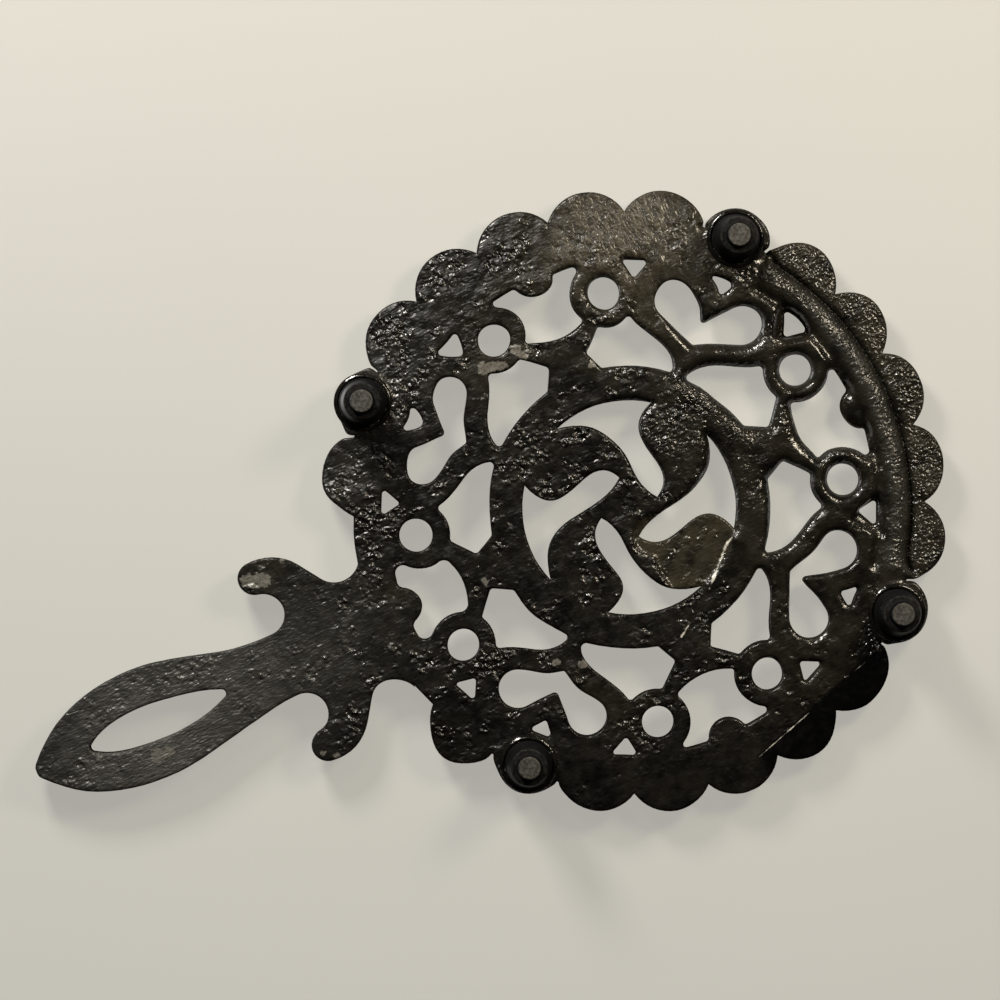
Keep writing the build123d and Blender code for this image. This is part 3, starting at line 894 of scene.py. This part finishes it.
def iron_colour(n):
    """Black paint, brown towards the far side, bare metal where it is worn, painted shade on the ground
    flat and along the ridge's groove, and painted highlights along some edges.
    """
    place = n.place()
    flat, worn = n.mask("flat"), n.mask("worn")
    patches = n.noise(place, *PATCH_NOISE)
    colour = n.mix(n.ramp(patches, *LIGHT_RAMP), IRON_DARK, IRON_LIGHT)
    tan = n.at_most(n.plus(*n.masks(TAN)), 1.0)
    colour = n.mix(n.times(tan, n.rest(flat), n.ramp(patches, *TAN_RAMP)), colour, IRON_BROWN)
    colour = n.mix(n.times(n.mask("blade"), n.ramp(patches, *BLADE_RAMP)), colour, IRON_BLADE)
    colour = n.mix(n.times(n.mask("grey"), n.ramp(patches, *GREY_RAMP)), colour, IRON_GREY)
    streaks = n.ramp(n.noise(n.place(STROKE_STRETCH), *STREAK_NOISE), *STREAK_RAMP)
    colour = n.mix(n.times(n.at_most(n.mask("ground"), 1.0), streaks), colour, IRON_GROUND)
    # Painted shade on the ground flat and along the groove at the ridge's outer foot
    colour = n.mix(n.largest(flat, n.mask("groove_shade")), colour, IRON_PAINTED_SHADE)
    ragged = n.times(n.centred(n.noise(place, *RAGGED_NOISE)), n.ramp(worn, *RAGGED_RAMP), RAGGED_SHARE)
    bare = n.ramp(n.plus(worn, ragged), *BARE_RAMP)
    speckle = n.ramp(n.noise(place, *SPECKLE_NOISE), *SPECKLE_RAMP)
    colour = n.mix(n.times(bare, speckle), colour, IRON_BARE)
    # Painted highlights: bright glint lines along edges and steps, on the underside only
    for start_x, start_y, end_x, end_y, width in GLINT_LINES:
        painted_glint_line = n.painted_glint_line((start_x, start_y), (end_x, end_y), width)
        colour = n.mix(n.times(painted_glint_line, n.mask("under")), colour, IRON_GLINT)
    return colour


def iron_material():
    """Sand-cast iron under satin black paint."""
    made = material("cast_iron_black")
    n = Nodes(made.node_tree)
    gloss = n.ramp(n.noise(n.place(), *GLOSS_NOISE), *GLOSS_RAMP)
    shader = n.add("ShaderNodeBsdfPrincipled")
    n.join(iron_colour(n), shader.inputs["Base Color"])
    n.join(n.plus(gloss, *n.masks(GLOSS_CHANGES)), shader.inputs["Roughness"])
    # No specular reflection where the edge mask is set: painted shade on walls, edges and the groove
    n.join(n.times(n.rest(n.mask("edge")), IRON_SPECULAR), shader.inputs["Specular IOR Level"])
    n.join(n.bump(cast_height(n), MM), shader.inputs["Normal"])
    n.surface(shader)
    return made


def rubber_material():
    """Dull black rubber, grey and scuffed at the tip, with a painted highlight round the shoulder."""
    made = material("foot_rubber_black")
    n = Nodes(made.node_tree)
    place = n.place()
    split = n.add("ShaderNodeSeparateXYZ")
    n.join(place, split.inputs[0])
    height = split.outputs["Z"]
    shoulder = n.times(n.ramp(height, *SHOULDER_RISE), n.ramp(height, *SHOULDER_FALL))
    scuffs = n.noise(place, *SCUFF_NOISE)
    worn = n.times(n.ramp(height, *TIP_RAMP), n.ramp(scuffs, *TIP_SCUFFS))
    # Painted highlight: a lighter band round the shoulder's edge
    shoulder_sheen = n.mix(n.times(shoulder, n.ramp(scuffs, *SHOULDER_SHEEN_RAMP)), RUBBER_DARK, RUBBER_SHOULDER_SHEEN)
    shader = n.add("ShaderNodeBsdfPrincipled")
    n.join(n.mix(worn, shoulder_sheen, RUBBER_WORN), shader.inputs["Base Color"])
    n.join(n.ramp(scuffs, *RUBBER_ROUGHNESS), shader.inputs["Roughness"])
    shader.inputs["Specular IOR Level"].default_value = RUBBER_SPECULAR
    n.join(n.bump(n.times(scuffs, SCUFF_HEIGHT), SCUFF_DEPTH * MM), shader.inputs["Normal"])
    n.surface(shader)
    return made


def one_sided(name, glossy):
    """Pale surface that shows only from its front, to the camera, and lets lamps through."""
    made = material(name)
    n = Nodes(made.node_tree)
    path = n.add("ShaderNodeLightPath")
    seen = path.outputs["Is Camera Ray"]
    if glossy:
        seen = n.largest(seen, path.outputs["Is Glossy Ray"])
    front = n.rest(n.add("ShaderNodeNewGeometry").outputs["Backfacing"])
    tone = n.mix(n.noise(n.place(), *PALE_NOISE), [PALE_SHADE * c for c in PALE], PALE)
    paint = n.add("ShaderNodeBsdfDiffuse")
    n.join(tone, paint.inputs["Color"])
    glow = n.add("ShaderNodeEmission")
    n.join(tone, glow.inputs["Color"])
    pale = n.add("ShaderNodeMixShader")
    pale.inputs[0].default_value = GLOW_SHARE
    n.join(paint.outputs[0], pale.inputs[1])
    n.join(glow.outputs[0], pale.inputs[2])
    clear = n.add("ShaderNodeBsdfTransparent")
    both = n.add("ShaderNodeMixShader")
    n.join(n.times(seen, front), both.inputs[0])
    n.join(clear.outputs[0], both.inputs[1])
    n.join(pale.outputs[0], both.inputs[2])
    n.surface(both)
    return made


def sheet(name, height, facing_up, finish):
    """Square stage sheet."""
    half = STAGE_SIZE / 2
    corners = [(-half, -half, height), (half, -half, height), (half, half, height), (-half, half, height)]
    mesh = bpy.data.meshes.new(name)
    mesh.from_pydata(corners, [], [(0, 1, 2, 3) if facing_up else (3, 2, 1, 0)])
    mesh.materials.append(finish)
    link(name, mesh)


def lamp(name, at, power, size, colour):
    """Square soft box that faces the trivet."""
    light = bpy.data.lights.new(name, "AREA")
    light.energy = power
    light.size = size
    light.color = colour
    piece = link(name, light)
    piece.location = MIDDLE + at
    piece.rotation_mode = "QUATERNION"
    piece.rotation_quaternion = (-at).to_track_quat("-Z", "Y")


def in_picture(right, up, near):
    """Direction given by the picture's right, its up, and the way to the camera."""
    return PICTURE_RIGHT * right + PICTURE_UP * up + TO_CAMERA * near


def world():
    """Dim even surroundings, and a pale background where the camera sees past the stage."""
    made = bpy.data.worlds.new("studio")
    bpy.context.scene.world = made
    made.use_nodes = True
    made.node_tree.nodes.clear()
    n = Nodes(made.node_tree)
    both = n.add("ShaderNodeMixShader")
    n.join(n.add("ShaderNodeLightPath").outputs["Is Camera Ray"], both.inputs[0])
    for number, colour, strength in ((1, DIM, DIM_STRENGTH), (2, PALE, GLOW_SHARE)):
        background = n.add("ShaderNodeBackground")
        background.inputs["Color"].default_value = (*colour, 1)
        background.inputs["Strength"].default_value = strength
        n.join(background.outputs[0], both.inputs[number])
    n.join(both.outputs[0], n.add("ShaderNodeOutputWorld").inputs["Surface"])


def camera():
    data = bpy.data.cameras.new("camera")
    data.lens = CAMERA_LENS
    data.sensor_width = CAMERA_SENSOR
    data.clip_end = CAMERA_REACH
    piece = link("camera", data)
    back = (CAMERA_AT - CAMERA_AIM).normalized()
    right = (PICTURE_RIGHT - back * PICTURE_RIGHT.dot(back)).normalized()
    up = back.cross(right)
    turn = Matrix((right, up, back)).transposed()
    piece.matrix_world = Matrix.Translation(CAMERA_AT) @ turn.to_4x4()
    bpy.context.scene.camera = piece


# Trivet
iron = iron_material()
rubber = rubber_material()

casting = link("casting_iron", casting_mesh())
casting.data.materials.append(iron)
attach(casting, "trivet")
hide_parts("casting")

for place in CAPS:
    axis = Vector((*cap_axis(place), 0))

    cap = link(f"cap_{place}_rubber", cap_mesh(f"cap_{place}"))
    cap.location = axis
    cap.data.materials.append(rubber)
    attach(cap, f"cap_{place}")
    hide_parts(f"foot_cap_{place}")

    for name, profile in (("peg", PEG), ("collar", COLLAR)):
        piece = link(f"{name}_{place}_iron", smooth_iron(f"{name}_{place}", profile))
        piece.location = axis
        piece.data.materials.append(iron)
        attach(piece, "trivet")

# Stage
sheet("floor", 0.0, True, one_sided("pale_floor", False))
sheet("backdrop", BACKDROP_HEIGHT, False, one_sided("pale_backdrop", True))
world()
for name, (at, power, size, colour) in LAMPS_BELOW.items():
    lamp(name, in_picture(*at), power, size, colour)
for name, (at, power, size, colour) in LAMPS_ABOVE.items():
    lamp(name, Vector(at), power, size, colour)
camera()
bpy.context.scene.view_settings.view_transform = "Standard"
